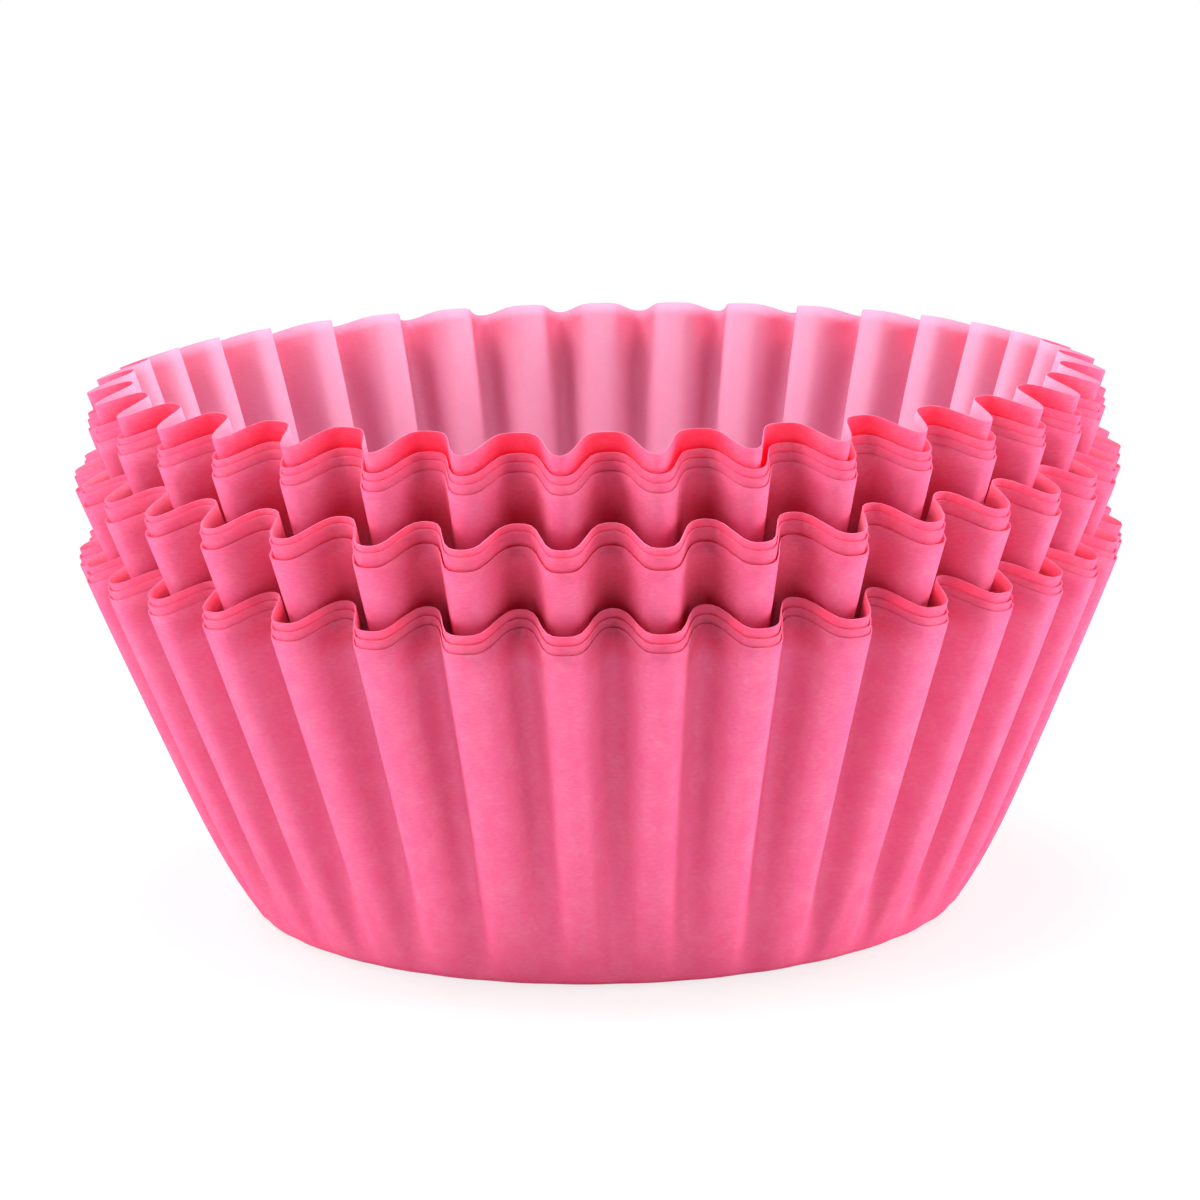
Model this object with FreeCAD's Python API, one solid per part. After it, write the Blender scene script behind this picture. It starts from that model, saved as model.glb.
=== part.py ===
import FreeCAD, Part
import math
import os
from collections import namedtuple

# A stack of pleated paper cupcake liners, nested in three loose bundles.
#
# Each liner is one pressed disc of paper: a flat round floor, and a wall gathered into even flutes.
# The flutes start from nothing at the floor's crease and are deepest at the rim. The paper has one
# length up every line of the wall, so the rim dips where a flute leans out and rises where it leans in.
# Millimetres, +Z up. The origin is the centre of the lowest floor's underside, and -Y is the front.

Vector = FreeCAD.Vector
Rotation = FreeCAD.Rotation
Placement = FreeCAD.Placement

# One liner: its floor, the paper up its wall, its flutes from ridge to valley, and the paper itself
base_diameter = 50.0
wall_slant = 27.1
flute_count = 36
flute_depth = 3.0
paper = 0.07

# Middle of the flutes at the rim, on the liners that have sprung open and on those held closer
open_mouth = 69.4
close_mouth = 67.4

# Straight folds down each side of a flute at the rim, and how many of them start at the ridge's foot
folds_per_side = 3
ridge_folds = 2

# Room out from a liner's wall to the next one's: inside a bundle, and where a bundle bears on the last
nest_gap = 0.03
seat_gap = 0.30

# The nearest ridge stands this far to the left of the front
ridge_offset_deg = 3.9

# From the bottom up: the bundle's mouth, its turn about the front of its rim, how far its front is
# tipped up, and each liner's slack above its closest fit
Bundle = namedtuple("Bundle", "mouth turn_deg tilt_deg slacks")
bundles = [
    Bundle(open_mouth, 0.0, 0.0, [0.0, 0.02, 0.13]),
    Bundle(open_mouth, 0.515, 0.0, [0.0, 0.37, 0.0]),
    Bundle(close_mouth, 0.16, 0.8, [0.0, 0.0, 0.0, 0.81]),
]

# Worked out from the sizes above
base_radius = base_diameter / 2
fold_count = 2 * folds_per_side * flute_count
fold_angle = 2 * math.pi / fold_count
fit_samples = 4


def wave(angle):
    """1 on a ridge and -1 in a valley, straight from fold to fold between them."""
    fold, share = divmod(angle / fold_angle, 1)
    start = math.cos(flute_count * fold_angle * fold)
    end = math.cos(flute_count * fold_angle * (fold + 1))
    return start + share * (end - start)


def rim_point(mouth, angle):
    """Point of the outer rim, on a line of the wall whose paper is wall_slant long."""
    radius = mouth / 2 + flute_depth / 2 * wave(angle)
    height = math.sqrt(wall_slant ** 2 - (radius - base_radius) ** 2)
    return Vector(radius * math.cos(angle), radius * math.sin(angle), height)


def wall_feet(radius, height):
    """Corners round a floor, one at the foot of each ridge and each valley."""
    angles = [side * folds_per_side * fold_angle for side in range(2 * flute_count)]
    return [Vector(radius * math.cos(angle), radius * math.sin(angle), height) for angle in angles]


def wall_facets(feet, rim):
    """Corners of the wall's facets, anticlockwise from outside, one side of a flute after another."""
    facets = []
    for side, foot in enumerate(feet):
        next_foot = feet[(side + 1) % len(feet)]
        folds = [rim[(side * folds_per_side + step) % fold_count] for step in range(folds_per_side + 1)]
        split = ridge_folds if side % 2 == 0 else folds_per_side - ridge_folds
        facets += [(foot, folds[step + 1], folds[step]) for step in range(split)]
        facets += [(foot, next_foot, folds[split])]
        facets += [(next_foot, folds[step + 1], folds[step]) for step in range(split, folds_per_side)]
    return facets


def inner_rim(feet, rim):
    """The rim moved in by the paper's thickness, square to the two facets that meet at each fold."""
    moved = []
    for fold, point in enumerate(rim):
        down = feet[round(fold / folds_per_side) % len(feet)] - point
        before = (point - rim[fold - 1]).cross(down).normalize()
        after = (rim[(fold + 1) % fold_count] - point).cross(down).normalize()
        moved.append(point + (before + after) * (paper / (1 + before.dot(after))))
    return moved


def plane_face(corners):
    """Flat face with the given corners."""
    return Part.Face(Part.makePolygon([*corners, corners[0]]))


def make_liner(mouth):
    """One liner standing on the origin as a closed solid, and its inner rim."""
    rim = [rim_point(mouth, fold * fold_angle) for fold in range(fold_count)]
    feet = wall_feet(base_radius, 0)
    inner_feet = wall_feet(base_radius - paper, paper)
    inner = inner_rim(feet, rim)
    facets = [feet[::-1], inner_feet]
    facets += wall_facets(feet, rim)
    facets += [facet[::-1] for facet in wall_facets(inner_feet, inner)]
    for fold, point in enumerate(rim):
        facets += [(rim[fold - 1], point, inner[fold - 1]), (point, inner[fold], inner[fold - 1])]
    skin = Part.Shell([plane_face(corners) for corners in facets])
    skin.sewShape()
    return Part.Solid(skin), inner


def liner_place(bundle, lift):
    """Place of a liner: turned about the front of its rim, lifted, and tipped up at the front."""
    front = Vector(0, -bundle.mouth / 2, 0)
    ridge_in_front = Placement(Vector(), Rotation(Vector(0, 0, 1), -90 - ridge_offset_deg))
    turn = Placement(Vector(0, 0, lift), Rotation(Vector(0, 0, 1), bundle.turn_deg), front)
    tilt = Placement(Vector(), Rotation(Vector(1, 0, 0), -bundle.tilt_deg))
    return tilt.multiply(turn).multiply(ridge_in_front)


def closest_lift(rim_below, bundle, gap):
    """Lowest lift at which a liner's wall stays gap inside every point of the inner rim below it."""
    unlifted = liner_place(bundle, 0).inverse()
    lifts = []
    for fold, point in enumerate(rim_below):
        for sample in range(fit_samples):
            local = unlifted.multVec(point + (rim_below[fold - 1] - point) * (sample / fit_samples))
            top = rim_point(bundle.mouth, math.atan2(local.y, local.x))
            slope = (math.hypot(top.x, top.y) - base_radius) / top.z
            lifts.append(local.z - (math.hypot(local.x, local.y) - gap - base_radius) / slope)
    return max(lifts)


def nest_liners():
    """Every liner in its place, from the bottom of the stack to the top."""
    placed = []
    rim_below = None
    for bundle in bundles:
        liner, inner = make_liner(bundle.mouth)
        gap = seat_gap
        for slack in bundle.slacks:
            lift = closest_lift(rim_below, bundle, gap) + slack if placed else 0.0
            place = liner_place(bundle, lift)
            placed.append(liner.transformed(place.toMatrix(), True))
            rim_below = [place.multVec(point) for point in inner]
            gap = nest_gap
    return placed


os.makedirs("parts", exist_ok=True)
for number, liner in enumerate(nest_liners(), start=1):
    liner.exportStep("parts/liner_%02d.step" % number)
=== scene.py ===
"""Looks of a stack of pleated paper cupcake liners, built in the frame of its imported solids.

Every liner is one closed sheet of thin paper: a flat floor, a small rounded heel and a fluted wall whose
paper has one length all round, so the rim dips where a flute leans out. Lengths are in metres, +Z is up,
-Y is the front, and the origin is the centre of the underside of the lowest liner's floor.
"""
import logging
import math
from dataclasses import dataclass, field, replace
from enum import Enum
from typing import Any, Sequence, Union

import bpy
import numpy as np
from mathutils import Matrix, Vector


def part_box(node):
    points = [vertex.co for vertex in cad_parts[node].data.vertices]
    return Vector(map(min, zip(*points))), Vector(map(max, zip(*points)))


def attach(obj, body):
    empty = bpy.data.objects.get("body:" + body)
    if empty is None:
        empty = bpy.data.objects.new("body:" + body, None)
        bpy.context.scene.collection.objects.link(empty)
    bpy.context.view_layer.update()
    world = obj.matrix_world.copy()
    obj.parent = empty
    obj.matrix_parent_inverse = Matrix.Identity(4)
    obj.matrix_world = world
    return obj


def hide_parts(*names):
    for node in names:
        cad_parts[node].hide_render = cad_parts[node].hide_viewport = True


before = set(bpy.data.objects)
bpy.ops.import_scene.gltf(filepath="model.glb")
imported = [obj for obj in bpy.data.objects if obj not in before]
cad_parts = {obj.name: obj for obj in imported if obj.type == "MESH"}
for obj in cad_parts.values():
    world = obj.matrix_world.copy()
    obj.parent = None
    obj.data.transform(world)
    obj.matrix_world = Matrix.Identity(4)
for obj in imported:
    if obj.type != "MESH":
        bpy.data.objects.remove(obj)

Array = np.ndarray
Number = Union[float, "Value"]

MM = 0.001
PALE_AND_GROOVE_SHADE = "pale"
THIN_AND_SHADE = "thin"

logger = logging.getLogger("cupcake_liners")


class Value:
    """A number that a shader works out at each point, used in sums like a Python number."""

    def __init__(self, graph: "ShaderGraph", socket: bpy.types.NodeSocket) -> None:
        """Keeps the socket that gives the number and the graph it belongs to."""
        self.graph = graph
        self.socket = socket

    def __add__(self, other: Number) -> "Value":
        """This plus other."""
        return self.graph.maths("ADD", self, other)

    def __radd__(self, other: Number) -> "Value":
        """Other plus this."""
        return self.graph.maths("ADD", other, self)

    def __sub__(self, other: Number) -> "Value":
        """This minus other."""
        return self.graph.maths("SUBTRACT", self, other)

    def __rsub__(self, other: Number) -> "Value":
        """Other minus this."""
        return self.graph.maths("SUBTRACT", other, self)

    def __mul__(self, other: Number) -> "Value":
        """This times other."""
        return self.graph.maths("MULTIPLY", self, other)

    def __rmul__(self, other: Number) -> "Value":
        """Other times this."""
        return self.graph.maths("MULTIPLY", other, self)

    def __pow__(self, other: Number) -> "Value":
        """This to the power of other."""
        return self.graph.maths("POWER", self, other)


class ShaderGraph:
    """The node tree of one material or world."""

    def __init__(self, owner: Union[bpy.types.Material, bpy.types.World]) -> None:
        """Starts an empty node tree.

        Args:
            owner: the material or the world that the tree belongs to.
        """
        owner.use_nodes = True
        self.tree = owner.node_tree
        self.tree.nodes.clear()

    def node(self, kind: str, settings: dict[str, Any], inputs: dict[Any, Any]) -> bpy.types.Node:
        """Adds one node, sets it up, and gives its sockets their values or links.

        Args:
            kind: Blender's name for the node's type.
            settings: the node's own settings, set before its sockets.
            inputs: a value, a socket or a Value for each input socket, by the socket's name or index.

        Returns:
            The new node.
        """
        made = self.tree.nodes.new(kind)
        for name, setting in settings.items():
            setattr(made, name, setting)
        for name, given in inputs.items():
            socket = made.inputs[name]
            if isinstance(given, Value):
                self.tree.links.new(given.socket, socket)
            elif isinstance(given, bpy.types.NodeSocket):
                self.tree.links.new(given, socket)
            else:
                socket.default_value = given
        return made

    def maths(self, operation: str, *terms: Number) -> Value:
        """The result of one Math node.

        Args:
            operation: the Math node's operation.
            terms: its numbers, in order.

        Returns:
            The node's result.
        """
        made = self.node("ShaderNodeMath", {"operation": operation}, dict(enumerate(terms)))
        return Value(self, made.outputs[0])

    def attribute(self, name: str) -> Value:
        """The number that a mesh carries under the given name."""
        return Value(self, self.node("ShaderNodeAttribute", {"attribute_name": name}, {}).outputs["Fac"])

    def between(self, mask: Number, low: Any, high: Any) -> bpy.types.NodeSocket:
        """A colour that goes from low to high as mask goes from 0 to 1.

        Args:
            mask: the share of high.
            low: the colour at 0.
            high: the colour at 1.

        Returns:
            The mixed colour's socket.
        """
        made = self.node("ShaderNodeMix", {"data_type": "RGBA"}, {0: mask, 6: low, 7: high})
        return made.outputs[2]

    def any_ray(self, *kinds: str) -> Value:
        """1 where the ray is of one of the given kinds, and 0 elsewhere.

        Args:
            kinds: the outputs' names in the Light Path node.

        Returns:
            The greatest of those outputs.
        """
        rays = self.node("ShaderNodeLightPath", {}, {}).outputs
        found = Value(self, rays[kinds[0]])
        for kind in kinds[1:]:
            found = self.maths("MAXIMUM", found, Value(self, rays[kind]))
        return found


@dataclass(frozen=True)
class PinkPaper:
    """Dyed greaseproof paper: matte, a little cloudy, with fine fibres, and thin paper with painted shade
    near the rims.

    Colours are linear red, green and blue. Where its thin mark is full the paper takes painted_shade_share of
    painted_shade_tint, a painted shade, darker and redder, for the valleys and the strips near the rims, and
    lets thin_translucency of the light through. The noise of the fibres is read at a place scaled by
    fibre_draw, which draws them out level.
    """

    name: str = "pink_paper"
    outside: tuple[float, float, float] = (0.97, 0.158, 0.39)
    # The inside is paler: partly the paper's lighter inner face, partly painted sheen.
    inside: tuple[float, float, float] = (0.97, 0.5, 0.77)
    lit_through: tuple[float, float, float] = (0.97, 0.035, 0.12)
    # Painted shade: the darker, redder colour given to the valleys and strips near the rims.
    painted_shade_tint: tuple[float, float, float] = (0.97, 0.04, 0.15)
    painted_shade_share: float = 0.45
    cloudiness: float = 0.5
    cloud_share: float = 0.4
    cloud_power: int = 3
    translucency: float = 0.46
    thin_translucency: float = 0.74
    roughness: float = 0.8
    gloss: float = 0.12
    cloud_size: float = 1.6 * MM
    cloud_detail: float = 2.0
    fibre_size: float = 0.16 * MM
    fibre_detail: float = 3.0
    fibre_draw: tuple[float, float, float] = (0.4, 0.4, 1.3)
    fibre_relief: float = 0.035 * MM
    fibre_strength: float = 0.6
    noise_roughness: float = 0.55

    def cloud(self, graph: ShaderGraph, place: Any, size: float, detail: float) -> Value:
        """Smooth noise from 0 to 1 with blots of the given size.

        Args:
            graph: the tree it is added to.
            place: the vector that the noise is read at.
            size: the blots' size.
            detail: how many finer layers are added.

        Returns:
            The noise.
        """
        settings = {"noise_dimensions": "3D"}
        inputs = {"Vector": place, "Scale": 1 / size, "Detail": detail, "Roughness": self.noise_roughness}
        return Value(graph, graph.node("ShaderNodeTexNoise", settings, inputs).outputs["Fac"])

    def material(self) -> bpy.types.Material:
        """The paper's material.

        Returns:
            A matte shader, made cloudy by noise, mixed with one that lets light through.
        """
        paper = bpy.data.materials.new(self.name)
        graph = ShaderGraph(paper)
        place = graph.node("ShaderNodeTexCoord", {}, {}).outputs["Object"]
        cloud = self.cloud(graph, place, self.cloud_size, self.cloud_detail)
        drawn = graph.node("ShaderNodeVectorMath", {"operation": "MULTIPLY"}, {0: place, 1: self.fibre_draw})
        fibre = self.cloud(graph, drawn.outputs[0], self.fibre_size, self.fibre_detail)
        # How pale the inner face is, less the painted shade in its grooves.
        pale = graph.attribute(PALE_AND_GROOVE_SHADE)
        # Mark of thin paper and painted shade: on outer faces fully, on inner faces only where they are less
        # pale.
        thin_and_shaded = graph.attribute(THIN_AND_SHADE) * (1 - pale)
        # Outside or inside colour; the inside's paleness is partly painted sheen.
        dyed_and_sheen = graph.between(pale, (*self.outside, 1), (*self.inside, 1))
        # Mixes in the painted shade's darker, redder tint.
        face = graph.between(thin_and_shaded * self.painted_shade_share, dyed_and_sheen, (*self.painted_shade_tint, 1))
        grain = cloud * self.cloud_share + fibre * (1 - self.cloud_share)
        colour = graph.between(grain ** self.cloud_power * self.cloudiness, face, (1, 1, 1, 1))
        relief = graph.node(
            "ShaderNodeBump",
            {},
            {"Height": fibre, "Strength": self.fibre_strength, "Distance": self.fibre_relief},
        ).outputs["Normal"]
        sheet = graph.node(
            "ShaderNodeBsdfPrincipled",
            {},
            {
                "Base Color": colour,
                "Roughness": self.roughness,
                "Specular IOR Level": self.gloss,
                "Normal": relief,
            },
        )
        through = graph.node("ShaderNodeBsdfTranslucent", {}, {"Color": (*self.lit_through, 1)})
        mixed = graph.node(
            "ShaderNodeMixShader",
            {},
            {
                0: thin_and_shaded * (self.thin_translucency - self.translucency) + self.translucency,
                1: sheet.outputs[0],
                2: through.outputs[0],
            },
        )
        graph.node("ShaderNodeOutputMaterial", {}, {"Surface": mixed.outputs[0]})
        return paper


@dataclass(frozen=True)
class WhiteTable:
    """Plain white floor that shows white to the camera and keeps a soft shadow."""

    name: str = "white_table"
    albedo: float = 0.9
    shadow_share: float = 0.3
    shadow_reach: float = 50 * MM
    shadow_power: int = 4

    def material(self) -> bpy.types.Material:
        """The floor's material.

        The shadow's share is shadow_share / (1 + (distance / shadow_reach) ^ shadow_power), by the distance
        from the stack's middle.

        Returns:
            A matte white, mostly replaced by plain white where the camera or a gloss looks at it.
        """
        white_top = bpy.data.materials.new(self.name)
        graph = ShaderGraph(white_top)
        shown = graph.any_ray("Is Camera Ray", "Is Glossy Ray", "Is Transmission Ray")
        place = graph.node("ShaderNodeTexCoord", {}, {}).outputs["Object"]
        distance = graph.node("ShaderNodeVectorMath", {"operation": "LENGTH"}, {0: place}).outputs["Value"]
        far = (Value(graph, distance) * (1 / self.shadow_reach)) ** self.shadow_power
        share = graph.maths("DIVIDE", self.shadow_share, far + 1)
        grey = (self.albedo, self.albedo, self.albedo, 1)
        matte = graph.node("ShaderNodeBsdfDiffuse", {}, {"Color": grey})
        white = graph.node("ShaderNodeEmission", {}, {"Color": (1, 1, 1, 1), "Strength": 1.0})
        mixed = graph.node(
            "ShaderNodeMixShader",
            {},
            {0: shown * (1 - share), 1: matte.outputs[0], 2: white.outputs[0]},
        )
        graph.node("ShaderNodeOutputMaterial", {}, {"Surface": mixed.outputs[0]})
        return white_top


class Fold(Enum):
    """How a liner's wall is folded.

    The numbers are how square the wave is, how much wider the ridges are than the valleys in the lowest
    liner, and how much narrower they are in each liner above, so that every wall clears the one round it.
    """

    NESTED = (1.45, 0.40, 0.07)
    TOPMOST = (1.4, -0.42, 0.0)

    def wave(self, angle: Array, number: int) -> Array:
        """1 on a ridge and -1 in a valley.

        The hyperbolic tangent of a cosine, brought to run from 1 to -1, is squarer than the cosine. The
        ridges are wider when a little is added to the cosine first.

        Args:
            angle: angle within a flute, 0 on the ridge.
            number: how many liners lie under this one.

        Returns:
            The wave at each angle.
        """
        square, widening, narrowing = self.value
        shift = widening - narrowing * number
        low = math.tanh(square * (shift - 1))
        high = math.tanh(square * (shift + 1))
        return 2 * (np.tanh(square * (np.cos(angle) + shift)) - low) / (high - low) - 1


@dataclass(frozen=True)
class Press:
    """The press that every liner is made in.

    The lengths are those of one liner: its floor, the paper up its wall, its flutes from ridge to valley at
    the rim, the paper, the round of the heel where the wall leaves the floor, and how far the wall bows out
    low down. The swell is the power at which the flutes' missing depth runs out towards the rim: 1 is
    straight, and more deepens them sooner. The trim is how much shorter the wall is cut on one side, which
    is turned by trim_turn from one liner of a bundle to the next.
    """

    base_radius: float = 25.0 * MM
    wall_slant: float = 27.1 * MM
    flute_count: int = 36
    flute_depth: float = 3.0 * MM
    paper: float = 0.07 * MM
    heel_radius: float = 0.9 * MM
    swell: float = 2.0
    belly: float = 0.35 * MM
    belly_power: int = 4
    belly_scale: float = 12.2
    trim: float = 0.12 * MM
    trim_turn: float = 2.1


@dataclass(frozen=True)
class ThinnessAndShade:
    """Where the paper is thin and painted with shade, and where painted shade darkens the inside's grooves.

    The reaches are shares of the wall down from the rim, for the lowest liner and the others. The shares
    are those of the full mark of thin paper and painted shade at the rim of all but the topmost, and on the
    ridges of the liners that lie inside a bundle. painted_groove_shade is the painted shade that the inner
    face's grooves take at the rim, as a loss of their pale colour.
    """

    lowest_reach: float = 0.07
    reach: float = 0.26
    rim_share: float = 0.45
    ridge_share: float = 0.42
    painted_groove_shade: float = 0.5


@dataclass(frozen=True)
class Grid:
    """How finely a liner is drawn: points round each flute, and rows on its floor, its heel and its wall."""

    around_each_flute: int = 16
    floor_rows: int = 3
    heel_rows: int = 5
    wall_rows: int = 22

    def rows_below_wall(self) -> int:
        """Rows on the floor and the heel, without the floor's centre, which is one point."""
        return self.floor_rows - 1 + self.heel_rows


@dataclass(frozen=True)
class Wander:
    """How far the whole stack strays from its pattern, by the same amount in every liner.

    A point's angle moves by a sum of sines of its angle, and its radius shrinks by another such sum, so
    walls that are nested stay nested. The swing turns the flutes at the back and leaves those in front.
    """

    seed: int = 7
    swing: float = math.radians(-1.6)
    turn: float = math.radians(0.16)
    pinch: float = 0.0022
    waves: tuple[int, ...] = (2, 3, 5, 9, 14, 19, 23, 29, 34, 38)

    def sines(self, angle: Array, salt: int) -> Array:
        """Sum of sines with fixed chance phases, mostly between -1 and 1.

        Args:
            angle: angles round the stack.
            salt: picks one of several sums.

        Returns:
            The sum at each angle.
        """
        chance = np.random.default_rng(self.seed + salt)
        phases = chance.uniform(0, 2 * math.pi, len(self.waves))
        total = sum(np.sin(count * angle + phase) for count, phase in zip(self.waves, phases))
        return total / math.sqrt(len(self.waves))

    def apply(self, points: Array) -> Array:
        """Moves points by the wander, in proportion to how far out they are.

        Args:
            points: rows of x, y, z.

        Returns:
            The moved points.
        """
        radius = np.hypot(points[:, 0], points[:, 1])
        angle = np.arctan2(points[:, 1], points[:, 0])
        turned = angle + self.turn * self.sines(angle, 1) + self.swing * (1 + np.sin(angle)) / 2
        shrunk = radius * (1 - self.pinch * (1 + np.tanh(self.sines(angle, 2))) / 2)
        return np.column_stack([shrunk * np.cos(turned), shrunk * np.sin(turned), points[:, 2]])


@dataclass
class Liner:
    """One liner, made in the press and laid in the stack."""

    node: str
    press: Press
    mouth: float
    lift: float
    turn: float
    tilt: float
    ridge_offset: float
    fold: Fold
    number: int
    number_in_bundle: int
    grid: Grid
    thinness_and_shade: ThinnessAndShade

    def angles(self) -> Array:
        """The angles of the columns round the liner."""
        count = self.press.flute_count * self.grid.around_each_flute
        return np.linspace(0, 2 * math.pi, count, endpoint=False)

    def wave(self) -> Array:
        """The flutes' wave at each column: 1 on a ridge and -1 in a valley."""
        return self.fold.wave(self.press.flute_count * self.angles(), self.number)

    def up_the_wall(self) -> Array:
        """How far up the wall each of its rows lies, as a column of shares: 1 is the rim."""
        return np.linspace(0, 1, self.grid.wall_rows + 1)[1:, None]

    def profile(self) -> tuple[Array, Array]:
        """Radius and height of the outer face, in rows from near the floor's centre out and up to the rim.

        The floor is level, the heel is an arc that turns by the wall's slope, and the wall is a straight line
        that swells where the flutes are: by half their depth, times their wave, times
        (1 - t) - (1 - t) ^ swell, where t goes from 0 at the heel to 1 at the rim. Low down it also bows out,
        by the belly times belly_scale t (1 - t) ^ belly_power, which is about 1 at its most. The height of
        the rim is the side of a right triangle: the slant squared, less the run out squared.

        Returns:
            Radii and heights, a row for each step of the profile and a column for each angle.
        """
        rim_radius = self.mouth / 2 + self.press.flute_depth / 2 * self.wave()
        run = rim_radius - self.press.base_radius
        rise = np.sqrt(self.press.wall_slant ** 2 - run ** 2)
        slope = np.arctan2(rise, run)
        tangent = self.press.heel_radius * np.tan(slope / 2)
        heel_start = self.press.base_radius - tangent
        floor = np.linspace(0, 1, self.grid.floor_rows, endpoint=False)[1:, None]
        bend = np.linspace(0, 1, self.grid.heel_rows)[:, None] * slope
        heel_radius = heel_start + self.press.heel_radius * np.sin(bend)
        heel_height = self.press.heel_radius - self.press.heel_radius * np.cos(bend)
        trim_side = self.press.trim_turn * self.number_in_bundle
        trimmed = self.press.wall_slant - self.press.trim * (1 + np.cos(self.angles() - trim_side)) / 2
        up = self.up_the_wall()
        length = tangent + up * (trimmed - tangent)
        swelling = (1 - up) - (1 - up) ** self.press.swell
        bulge = (rim_radius - self.mouth / 2) * swelling
        bulge += self.press.belly * self.press.belly_scale * up * (1 - up) ** self.press.belly_power
        wall_radius = self.press.base_radius + length * np.cos(slope) + bulge
        radius = np.vstack([floor * heel_start, heel_radius, wall_radius])
        height = np.vstack([floor * np.zeros_like(slope), heel_height, length * np.sin(slope)])
        return radius, height

    def sides(self) -> tuple[Array, Array]:
        """The outer face, and the same face moved in by the paper's thickness along its true normal.

        The normal is the cross product of the lines through a point's neighbours round and up the face.

        Returns:
            Two grids of points: rows up the profile, columns round the liner, and x, y, z.
        """
        angle = self.angles()
        radius, height = self.profile()
        outer = np.stack([radius * np.cos(angle), radius * np.sin(angle), height], axis=-1)
        along = np.roll(outer, -1, axis=1) - np.roll(outer, 1, axis=1)
        up = np.gradient(outer, axis=0)
        normal = np.cross(along, up)
        normal /= np.linalg.norm(normal, axis=-1, keepdims=True)
        return outer, outer - self.press.paper * normal

    def paleness_and_groove_shade(self) -> Array:
        """How pale the inner face is at each point: 1, less a painted shade of painted_groove_shade times the
        groove times the row.

        The groove is 1 behind a ridge and 0 in a valley. The row goes from 0 on the floor to 1 at the rim.

        Returns:
            A share from 0 to 1, rows up the profile and columns round the liner.
        """
        rows = self.grid.rows_below_wall() + self.grid.wall_rows
        up = np.linspace(0, 1, rows)[:, None]
        # Painted shade: the grooves behind the ridges darken more towards the rim.
        return 1 - self.thinness_and_shade.painted_groove_shade * (1 + self.wave()) / 2 * up

    def thinness_and_painted_shade(self) -> Array:
        """Where the paper is thin and takes painted shade, at each point of a face: most in the valleys, near
        the rim.

        Up the wall it grows from 0 to 1 over the lower half of the reach, and over the upper half it falls to
        its share at the rim. Round the wall it goes from 1 in a valley to its share on a ridge. The lowest
        liner, which bears the others, is thin and shaded along a narrow strip only.

        Returns:
            A share from 0 to 1, rows up the profile and columns round the liner.
        """
        topmost = self.fold is Fold.TOPMOST
        on_ridges = 0.0 if topmost or not self.number_in_bundle else self.thinness_and_shade.ridge_share
        at_rim = 1.0 if topmost else self.thinness_and_shade.rim_share
        half_reach = (self.thinness_and_shade.reach if self.number else self.thinness_and_shade.lowest_reach) / 2
        up = np.vstack([np.zeros((self.grid.rows_below_wall(), 1)), self.up_the_wall()])
        grown = np.clip((up - 1) / half_reach + 2, 0, 1)
        faded = np.clip((up - 1) / half_reach + 1, 0, 1) * (1 - at_rim)
        return grown * (1 - faded) * (on_ridges + (1 - on_ridges) * (1 - self.wave()) / 2)

    def place(self) -> Matrix:
        """Where the liner lies: turned about the front of its rim, lifted, and tipped up at the front.

        Returns:
            The transform from the liner's own frame to the stack's.
        """
        front = Vector((0, -self.mouth / 2, 0))
        ridge = Matrix.Rotation(-math.pi / 2 - self.ridge_offset, 4, "Z")
        turned = Matrix.Translation(front) @ Matrix.Rotation(self.turn, 4, "Z") @ Matrix.Translation(-front)
        tipped = Matrix.Rotation(-self.tilt, 4, "X")
        return tipped @ Matrix.Translation((0, 0, self.lift)) @ turned @ ridge

    @staticmethod
    def corners(rows: int, count: int) -> tuple[Array, Array]:
        """The faces of a closed skin over the outer grid, the inner grid and the two poles after them.

        Between two rows a face joins each point to the next one round and to the two above them. The inner
        grid's faces turn the other way. A strip joins the grids at the rim, and a fan closes each floor.

        Args:
            rows: rows of each grid.
            count: points in each row.

        Returns:
            The four corners of each face of the walls, and the three of each face of the fans.
        """
        here = np.arange(count)
        after = np.roll(here, -1)
        start = np.arange(rows - 1)[:, None] * count
        quads = np.stack([start + here, start + after, start + count + after, start + count + here], axis=-1)
        quads = quads.reshape(-1, 4)
        shift = rows * count
        last = (rows - 1) * count
        rim = np.stack([last + here, last + after, last + shift + after, last + shift + here], axis=-1)
        outer_pole = np.full(count, 2 * shift)
        fans = np.vstack([
            np.stack([outer_pole, after, here], axis=-1),
            np.stack([outer_pole + 1, shift + here, shift + after], axis=-1),
        ])
        return np.vstack([quads, quads[:, ::-1] + shift, rim]), fans

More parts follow.
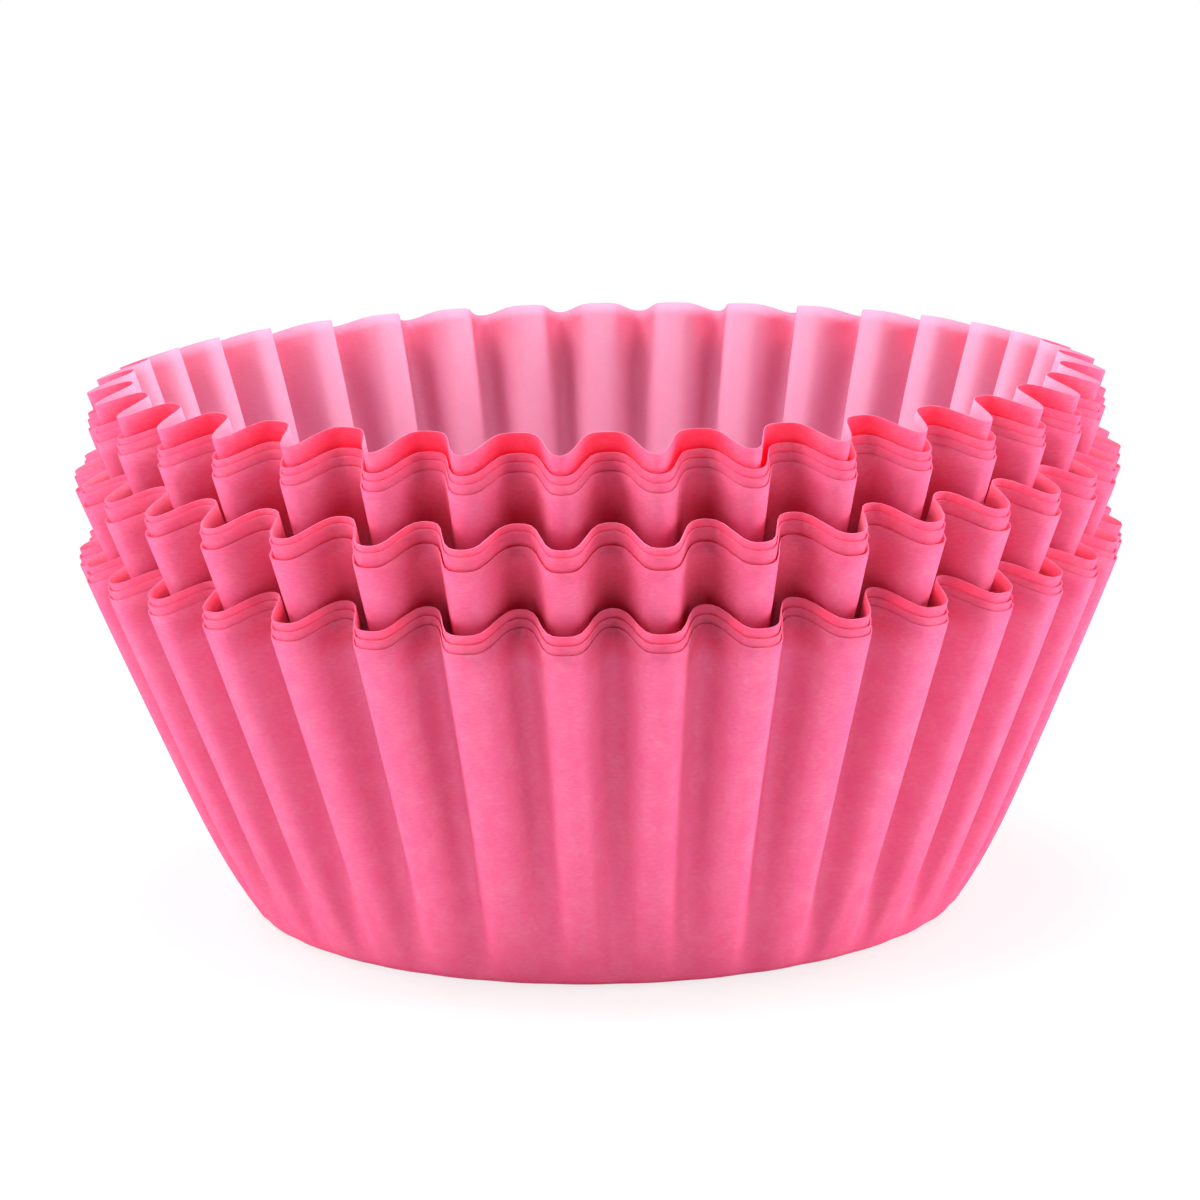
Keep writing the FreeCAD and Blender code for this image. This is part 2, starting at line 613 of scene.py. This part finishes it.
    def mesh(self, wander: Wander) -> bpy.types.Mesh:
        """The liner's closed skin: its outer face, its inner face, the cut rim and a pole in each floor.

        Args:
            wander: how the stack strays from its pattern.

        Returns:
            The mesh, in the stack's frame, with attributes for the pale inside and the thin paper, both with
            painted shade.
        """
        outer, inner = self.sides()
        poles = np.array([[0, 0, 0], [0, 0, self.press.paper]])
        points = np.vstack([outer.reshape(-1, 3), inner.reshape(-1, 3), poles])
        place = np.array(self.place())
        points = wander.apply(points @ place[:3, :3].T + place[:3, 3])
        walls, fans = self.corners(*outer.shape[:2])
        loops = np.concatenate([walls.ravel(), fans.ravel()])
        sizes = np.concatenate([np.full(len(walls), 4), np.full(len(fans), 3)])
        paleness_and_groove_shade = self.paleness_and_groove_shade().ravel()
        thinness_and_painted_shade = self.thinness_and_painted_shade().ravel()
        mesh = bpy.data.meshes.new(self.node)
        mesh.vertices.add(len(points))
        mesh.vertices.foreach_set("co", points.ravel())
        mesh.loops.add(len(loops))
        mesh.loops.foreach_set("vertex_index", loops.astype(np.int32))
        mesh.polygons.add(len(sizes))
        mesh.polygons.foreach_set("loop_start", (np.cumsum(sizes) - sizes).astype(np.int32))
        mesh.update(calc_edges=True)
        mesh.polygons.foreach_set("use_smooth", np.ones(len(sizes), dtype=bool))
        pale = np.concatenate([np.zeros_like(paleness_and_groove_shade), paleness_and_groove_shade, [0.0, 1.0]])
        mesh.attributes.new(PALE_AND_GROOVE_SHADE, "FLOAT", "POINT").data.foreach_set("value", pale)
        # The thin mark, which also places the painted shade, on both faces.
        thin = np.concatenate([thinness_and_painted_shade, thinness_and_painted_shade, [0.0, 0.0]])
        mesh.attributes.new(THIN_AND_SHADE, "FLOAT", "POINT").data.foreach_set("value", thin)
        return mesh


@dataclass
class Bundle:
    """Liners that lie closely in each other."""

    nodes: Sequence[str]
    first: int
    mouth: float
    turn: float = 0.0
    tilt: float = 0.0

    def liners(self, press: Press, thinness_and_shade: ThinnessAndShade, ridge_offset: float) -> list[Liner]:
        """The bundle's liners, each lifted to where its solid stands.

        Args:
            press: the press that they are made in.
            thinness_and_shade: where their paper is thin or less pale, both carrying painted shade.
            ridge_offset: how far the nearest ridge is turned from the front.

        Returns:
            The liners, from the bottom up.
        """
        made = []
        for number, node in enumerate(self.nodes):
            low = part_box(node)[0].z
            made.append(Liner(
                node=node,
                press=press,
                mouth=self.mouth,
                lift=(low + press.base_radius * math.sin(self.tilt)) / math.cos(self.tilt),
                turn=self.turn,
                tilt=self.tilt,
                ridge_offset=ridge_offset,
                fold=Fold.NESTED,
                number=self.first + number,
                number_in_bundle=number,
                grid=Grid(),
                thinness_and_shade=thinness_and_shade,
            ))
        return made


@dataclass
class Stack:
    """The whole stack: three bundles of liners, from the bottom up.

    The topmost liner keeps its valleys wide, is turned by top_slip in its bundle, and has a finer grid.
    """

    press: Press = field(default_factory=Press)
    thinness_and_shade: ThinnessAndShade = field(default_factory=ThinnessAndShade)
    top_grid: Grid = Grid(around_each_flute=20, wall_rows=30)
    paper: PinkPaper = field(default_factory=PinkPaper)
    wander: Wander = field(default_factory=Wander)
    open_mouth: float = 69.4 * MM
    close_mouth: float = 67.4 * MM
    middle_turn: float = math.radians(0.16)
    top_turn: float = math.radians(0.15)
    top_slip: float = math.radians(0.2)
    top_tilt: float = math.radians(0.8)
    ridge_offset: float = math.radians(3.9)

    def bundles(self) -> list[Bundle]:
        """The three bundles, which take the ten nodes in order.

        Returns:
            The bundles, from the bottom up.
        """
        names = sorted(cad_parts)
        return [
            Bundle(names[:3], 0, self.open_mouth),
            Bundle(names[3:6], 3, self.open_mouth, self.middle_turn),
            Bundle(names[6:], 6, self.close_mouth, self.top_turn, self.top_tilt),
        ]

    def liners(self) -> list[Liner]:
        """Every liner, with the topmost changed as the class says.

        Returns:
            The liners, from the bottom up.
        """
        made = []
        for bundle in self.bundles():
            made += bundle.liners(self.press, self.thinness_and_shade, self.ridge_offset)
        made[-1] = replace(
            made[-1],
            fold=Fold.TOPMOST,
            ridge_offset=self.ridge_offset + self.top_slip,
            grid=self.top_grid,
        )
        return made

    def build(self) -> None:
        """Makes every liner's piece, dresses it and ties it to the frame."""
        dressed = self.paper.material()
        for liner in self.liners():
            mesh = liner.mesh(self.wander)
            mesh.materials.append(dressed)
            piece = bpy.data.objects.new(liner.node + "_paper", mesh)
            bpy.context.scene.collection.objects.link(piece)
            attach(piece, "root")
            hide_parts(liner.node)
            logger.info("%s: %d faces, lifted %.2f mm", piece.name, len(mesh.polygons), liner.lift / MM)


class Lamp(Enum):
    """The soft lamps: where each stands, and its power in watts."""

    LEFT_LOW = ((-0.68, 0.0, 0.16), 3.1)
    RIGHT_LOW = ((0.68, 0.0, 0.16), 4.9)
    LEFT_FRONT_LOW = ((-0.48, -0.48, 0.16), 0.8)
    RIGHT_FRONT_LOW = ((0.48, -0.48, 0.16), 1.2)
    LEFT_FRONT = ((-0.50, -0.29, 0.42), 1.1)
    LEFT_HIGH = ((-0.35, 0.0, 0.62), 3.1)
    RIGHT_HIGH = ((0.35, 0.0, 0.62), 2.0)
    TOP = ((0.0, 0.0, 0.72), 3.2)


@dataclass
class Studio:
    """The white table, the soft lamps and the camera at the photograph's angle."""

    table: WhiteTable = field(default_factory=WhiteTable)
    table_side: float = 6.0
    table_gap: float = 0.02 * MM
    lamp_side: float = 0.25
    lamp_aim: tuple[float, float, float] = (0.0, 0.0, 0.018)
    world_strength: float = 0.03
    camera_distance: float = 300.6 * MM
    camera_height: float = 83.1 * MM
    camera_pitch: float = math.radians(11.74)
    camera_roll: float = math.radians(-1.2)
    lens: float = 131.5
    sensor_width: float = 36.0
    frame_shift: float = -0.0017
    nearest_seen: float = 10 * MM

    def build(self) -> None:
        """Makes everything round the object."""
        self.floor()
        self.world()
        for lamp in Lamp:
            self.light(lamp)
        self.camera()

    def floor(self) -> None:
        """A square table top just under the lowest floor."""
        half = self.table_side / 2
        corners = [(-half, -half, 0), (half, -half, 0), (half, half, 0), (-half, half, 0)]
        mesh = bpy.data.meshes.new("table_top")
        mesh.from_pydata(corners, [], [(0, 1, 2, 3)])
        mesh.materials.append(self.table.material())
        top = bpy.data.objects.new("table_top", mesh)
        top.location.z = -self.table_gap
        bpy.context.scene.collection.objects.link(top)

    def world(self) -> None:
        """Even white light from all round, seen as plain white."""
        world = bpy.data.worlds.new("white_room")
        graph = ShaderGraph(world)
        seen = graph.any_ray("Is Camera Ray", "Is Glossy Ray")
        strength = seen * (1 - self.world_strength) + self.world_strength
        background = graph.node("ShaderNodeBackground", {}, {"Color": (1, 1, 1, 1), "Strength": strength})
        graph.node("ShaderNodeOutputWorld", {}, {"Surface": background.outputs[0]})
        bpy.context.scene.world = world

    def light(self, lamp: Lamp) -> None:
        """One soft square lamp that faces the middle of the stack.

        Args:
            lamp: the lamp's place and power.
        """
        place, watts = lamp.value
        data = bpy.data.lights.new(lamp.name.lower(), "AREA")
        data.shape = "SQUARE"
        data.size = self.lamp_side
        data.energy = watts
        light = bpy.data.objects.new(lamp.name.lower(), data)
        light.location = place
        aim = Vector(self.lamp_aim) - Vector(place)
        light.rotation_euler = aim.to_track_quat("-Z", "Y").to_euler()
        bpy.context.scene.collection.objects.link(light)

    def camera(self) -> None:
        """The camera: level with the front, pitched down, and turned a little about its own axis."""
        data = bpy.data.cameras.new("camera")
        data.lens = self.lens
        data.sensor_width = self.sensor_width
        data.shift_x = self.frame_shift
        data.clip_start = self.nearest_seen
        camera = bpy.data.objects.new("camera", data)
        down = Matrix.Rotation(math.pi / 2 - self.camera_pitch, 4, "X")
        rolled = Matrix.Rotation(self.camera_roll, 4, "Z")
        stand = Matrix.Translation((0, -self.camera_distance, self.camera_height))
        camera.matrix_world = stand @ down @ rolled
        bpy.context.scene.collection.objects.link(camera)
        bpy.context.scene.camera = camera


def main() -> None:
    """Builds the stack and its surroundings."""
    logging.basicConfig(level=logging.INFO, format="%(name)s: %(message)s")
    scene = bpy.context.scene
    scene.view_settings.view_transform = "Standard"
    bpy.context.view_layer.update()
    Stack().build()
    Studio().build()
    bpy.context.view_layer.update()


if __name__ == "__main__":
    main()
